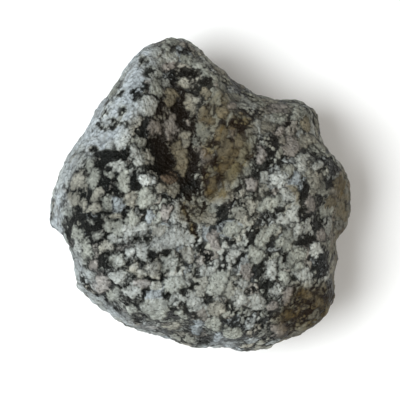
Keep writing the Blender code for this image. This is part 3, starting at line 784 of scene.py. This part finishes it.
def snowflake_obsidian(sizes, colours):
    """Snowflake obsidian: black rhyolite glass in which grey cristobalite grew as small round clusters.

    Weather has dulled the broken skin. The flakes are matt and slightly chalky, and the glass between them
    keeps a dull shine, so that its many tiny chips glint.
    """
    material = bpy.data.materials.new("snowflake obsidian, weathered")
    material.use_nodes = True
    tree = material.node_tree
    shader = tree.nodes["Principled BSDF"]
    place = add(tree, "ShaderNodeTexCoord")["Object"]
    place = add(tree, VECTOR_MATH, {"operation": "SCALE"}, {0: place, "Scale": 1 / MM})[0]
    marks = {
        name: add(tree, "ShaderNodeAttribute", {"attribute_name": name})["Fac"]
        for name in ("glass", "flake", "marked", "crowded", "tone", "stain", "bleach", "skin")
    }
    pattern = snowflake_pattern(tree, place, marks, sizes)
    cell = pattern["cell"]
    streaks = along_flow(tree, place, STREAK_STRETCH)
    mottle = add(tree, NOISE, {}, {"Vector": streaks, **MOTTLE})[0]
    specks, pits, broad, glass_specks_and_glints, chips = (
        add(tree, NOISE, {}, {"Vector": place, **look})[0] for look in (SPECKS, PITS, BROAD, GLASS_SPECKS_AND_GLINTS, CHIPS)
    )

    # How much of the point is flake: a soft step at the flake's edge, broken up by the pits.
    depth = remap(tree, pits, PIT_EDGE)
    depth = calculate(tree, PLUS, pattern["flake"], depth)
    cover = remap(tree, depth, COVER_EDGE, SOFT_STEP)
    whole = remap(tree, pits, PIT_LOSS, SOFT_STEP)
    cover = calculate(tree, TIMES, cover, whole)

    # The flake's own tone: random for the grown ones, chosen for the drawn ones.
    tone = remap(tree, cell["Y"], GROWN_TONES)
    tone = add(tree, MIX, NUMBERS, {"Factor": pattern["drawn"], "A": tone, "B": marks["tone"]})[0]
    ramp = tree.nodes.new("ShaderNodeValToRGB")
    tree.links.new(tone, ramp.inputs[0])
    stops = ramp.color_ramp.elements
    while len(stops) < len(FLAKE_TONES):
        stops.new(0.5)
    for step, (_, code) in enumerate(FLAKE_TONES):
        stops[step].position = (step + 0.5) / len(FLAKE_TONES)
        stops[step].color = (*linear(code), 1.0)
    light = FLAKE_LIGHT
    for value, low, high, dark, pale in (
        (cell["Z"], 0.0, 1.0, 0.68, 1.10),  # from flake to flake
        (pattern["grain"]["Y"], 0.0, 1.0, 0.93, 1.07),  # from grain to grain
        # Painted shade: flakes darken in the creases between grains.
        (pattern["lobes"], -0.4, 0.4, 0.88, 1.06),  # in the creases between grains
        (mottle, 0.3, 0.7, 0.72, 1.20),  # in streaks along the flow
        (pits, 0.3, 0.7, 0.84, 1.14),
        (pattern["flake"], 0.0, 0.9, 0.66, 1.05),  # thin at the edge, where the glass shows through
        (marks["crowded"], 0.0, 1.0, 1.0, 0.94),
        (pattern["drawn"], 0.0, 1.0, 1.0, 0.95),
        (marks["crowded"], -1.0, 0.0, 0.90, 1.0),  # where flakes stand apart
    ):
        span = {"From Min": low, "From Max": high, "To Min": dark, "To Max": pale}
        part = remap(tree, value, span)
        light = calculate(tree, TIMES, part, light)
    even = remap(tree, broad, SKIN_LIGHT)
    evening = calculate(tree, TIMES, marks["skin"], SKIN_EVENING)
    light = add(tree, MIX, NUMBERS, {"Factor": evening, "A": light, "B": even})[0]

    # Weathered skin, with painted light and shade: bleaching makes flakes chalky and also paints in the
    # brightness of rims lit by the key light; iron stains them brown and also paints in the shade of slopes
    # that face away from it.
    bleach = remap(tree, mottle, BLEACH_AND_LIGHT_PATCHES)
    bleach = calculate(tree, TIMES, bleach, marks["bleach"])
    colour = add(tree, MIX, COLOURS,
                 {"Factor": bleach, "A": ramp.outputs["Color"], "B": (*colours.bleach, 1.0)})["Result"]
    stain = marks["stain"]
    for value, low, high, least, most in (
        (mottle, 0.35, 0.62, 0.72, 1.1),
        (broad, 0.35, 0.62, 0.75, 1.12),
        (cell["Z"], 0.1, 0.9, 0.8, 1.15),  # one flake takes the stain better than the next
    ):
        span = {"From Min": low, "From Max": high, "To Min": least, "To Max": most}
        part = remap(tree, value, span)
        stain = calculate(tree, {**TIMES, **CLAMPED}, part, stain)
    colour = add(tree, MIX, {**COLOURS, "blend_type": "MULTIPLY"},
                 {"Factor": stain, "A": colour, "B": (*colours.stain, 1.0)})["Result"]
    colour = add(tree, VECTOR_MATH, {"operation": "SCALE"}, {0: colour, "Scale": light})[0]
    rusty = calculate(tree, {**TIMES_PLUS, **CLAMPED}, broad, GLASS_RUST, marks["stain"])
    glass = add(tree, MIX, COLOURS,
                {"Factor": rusty, "A": (*colours.glass, 1.0), "B": (*colours.glass_brown, 1.0)})["Result"]

    # Thick skin hides the pattern and closes most of the glass.
    closed = calculate(tree, TIMES_PLUS, marks["stain"], STAIN_AND_SHADE_CLOSING, specks)
    closed = calculate(tree, TIMES_PLUS, marks["bleach"], BLEACH_AND_LIGHT_CLOSING, closed)
    closed = remap(tree, closed, SPECK_EDGE, SOFT_STEP)
    cover = add(tree, MIX, NUMBERS, {"Factor": marks["skin"], "A": cover, "B": closed})[0]

    # A thin haze of small grains clouds the glass: more where flakes crowd, and in single pale specks
    # elsewhere, which also serve as painted glints.
    haze = remap(tree, mottle, CLOUD_SPAN)
    haze = calculate(tree, TIMES_PLUS, marks["crowded"], CROWDED_HAZE, haze)
    haze = calculate(tree, TIMES_PLUS, marks["bleach"], BLEACH_AND_LIGHT_HAZE, haze)
    cover = calculate(tree, LARGER, cover, haze)
    glass_specks_and_glints = remap(tree, glass_specks_and_glints, GLASS_SPECK_AND_GLINT_SPAN, SOFT_STEP)
    cover = calculate(tree, LARGER, cover, glass_specks_and_glints)
    colour = add(tree, MIX, COLOURS, {"Factor": cover, "A": glass, "B": colour})["Result"]
    tree.links.new(colour, shader.inputs["Base Color"])
    roughness = remap(tree, cover, ROUGHNESSES)
    tree.links.new(roughness, shader.inputs["Roughness"])

    # Chips, grains and flakes too fine for the mesh.
    worn = remap(tree, marks["skin"], CHIP_WEAR)
    chips = calculate(tree, TIMES, chips, worn)
    rough = calculate(tree, TIMES_PLUS, cover, FLAKE_RISE, chips)
    rough = calculate(tree, TIMES_PLUS, pattern["lobes"], GRAIN_RISE, rough)
    bump = add(tree, "ShaderNodeBump", {}, {"Height": rough, "Distance": CHIP_HEIGHT})[0]
    tree.links.new(bump, shader.inputs["Normal"])
    shader.inputs["IOR"].default_value = 1.49  # rhyolite glass
    shader.inputs["Specular IOR Level"].default_value = 0.09  # its surface is dulled by fine pits
    return material


class STONE_OT_make_stone(bpy.types.Operator):
    """Make the stone: the solid's form with fine relief and a snowflake obsidian finish"""

    bl_idname = "stone.make_stone"
    bl_label = "Make stone"

    def execute(self, context):
        sizes, colours = context.scene.stone_sizes, context.scene.stone_colours
        bpy.ops.object.select_all(action="DESELECT")
        stone = bpy.data.objects.new("obsidian_stone", frame["nodes"]["stone"].data.copy())
        context.scene.collection.objects.link(stone)
        stone.data.name = "obsidian_stone"
        context.view_layer.objects.active = stone
        stone.select_set(True)
        bpy.ops.mesh.customdata_custom_splitnormals_clear()
        bpy.ops.object.mode_set(mode="EDIT")
        bpy.ops.mesh.select_all(action="SELECT")
        bpy.ops.mesh.remove_doubles(threshold=0.001 * MM)
        bpy.ops.mesh.tris_convert_to_quads(face_threshold=math.pi, shape_threshold=math.pi)
        bpy.ops.object.mode_set(mode="OBJECT")

        refine = stone.modifiers.new("refinement", "SUBSURF")
        refine.levels = refine.render_levels = sizes.refinement
        bpy.ops.object.modifier_apply(modifier=refine.name)
        draw_marks(stone.data)
        relief = stone.modifiers.new("fine relief", "NODES")
        relief.node_group = relief_nodes(sizes)
        bpy.ops.object.modifier_apply(modifier=relief.name)
        # Nothing stands out past the solid's box, whatever sizes are chosen.
        for vertex in stone.data.vertices:
            vertex.co = [min(max(along, low), high) for along, low, high in zip(vertex.co, *CAD_BOX)]
        bpy.ops.object.shade_smooth()

        stone.data.materials.clear()
        stone.data.materials.append(snowflake_obsidian(sizes, colours))
        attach(stone, "root")
        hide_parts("stone")
        return {"FINISHED"}


class STONE_OT_make_stage(bpy.types.Operator):
    """Make the stage: a pale floor, soft lights and the camera above"""

    bl_idname = "stone.make_stage"
    bl_label = "Make stage"

    def execute(self, context):
        look = context.scene.stage_look
        bpy.ops.object.select_all(action="DESELECT")
        bpy.ops.mesh.primitive_plane_add(size=FLOOR_WIDTH)
        floor = context.active_object
        floor.name = "floor"
        # Matt emulsion paint on board: even, with no sheen that would mirror the stone.
        board = bpy.data.materials.new("matt painted board")
        board.use_nodes = True
        shader = board.node_tree.nodes["Principled BSDF"]
        shader.inputs["Base Color"].default_value = (*look.floor, 1.0)
        shader.inputs["Roughness"].default_value = 0.9
        shader.inputs["Specular IOR Level"].default_value = 0.2
        floor.data.materials.append(board)

        for name, (place, width, tint) in LAMPS.items():
            bpy.ops.object.light_add(type="AREA", location=place)
            lamp = context.active_object
            lamp.name = name
            lamp.rotation_euler = (Vector(LAMP_TARGET) - Vector(place)).to_track_quat("-Z", "Y").to_euler()
            lamp.data.shape = "SQUARE"
            lamp.data.size = width
            lamp.data.energy = getattr(look, f"{name}_power")
            lamp.data.color = tint
        world = bpy.data.worlds.new("room")
        world.use_nodes = True
        background = world.node_tree.nodes["Background"]
        background.inputs["Color"].default_value = (1.0, 1.0, 1.0, 1.0)
        background.inputs["Strength"].default_value = look.room_light
        context.scene.world = world

        bpy.ops.object.camera_add(location=CAMERA_PLACE)
        camera = context.active_object
        camera.data.lens = CAMERA_LENS
        camera.data.clip_start = CAMERA_CLIP
        context.scene.camera = camera
        context.scene.view_settings.view_transform = "Standard"
        return {"FINISHED"}


class STONE_PT_panel(bpy.types.Panel):
    """Sidebar panel with the stone's sizes, colours and operators"""

    bl_idname = "STONE_PT_panel"
    bl_label = "Snowflake obsidian"
    bl_space_type = "VIEW_3D"
    bl_region_type = "UI"
    bl_category = "Stone"

    def draw(self, context):
        for group in (context.scene.stone_sizes, context.scene.stone_colours, context.scene.stage_look):
            box = self.layout.box()
            for name in group.bl_rna.properties.keys():
                if name not in ("rna_type", "name"):
                    box.prop(group, name)
        for operator in (STONE_OT_make_stone, STONE_OT_make_stage):
            self.layout.operator(operator.bl_idname)


CLASSES = (StoneSizes, StoneColours, StageLook, STONE_OT_make_stone, STONE_OT_make_stage, STONE_PT_panel)


def register():
    for each in CLASSES:
        bpy.utils.register_class(each)
    bpy.types.Scene.stone_sizes = PointerProperty(type=StoneSizes)
    bpy.types.Scene.stone_colours = PointerProperty(type=StoneColours)
    bpy.types.Scene.stage_look = PointerProperty(type=StageLook)


def unregister():
    del bpy.types.Scene.stage_look
    del bpy.types.Scene.stone_colours
    del bpy.types.Scene.stone_sizes
    for each in reversed(CLASSES):
        bpy.utils.unregister_class(each)


def main():
    """Makes the stone and the stage."""
    register()
    bpy.ops.stone.make_stone()
    bpy.ops.stone.make_stage()


if __name__ == "__main__":
    main()
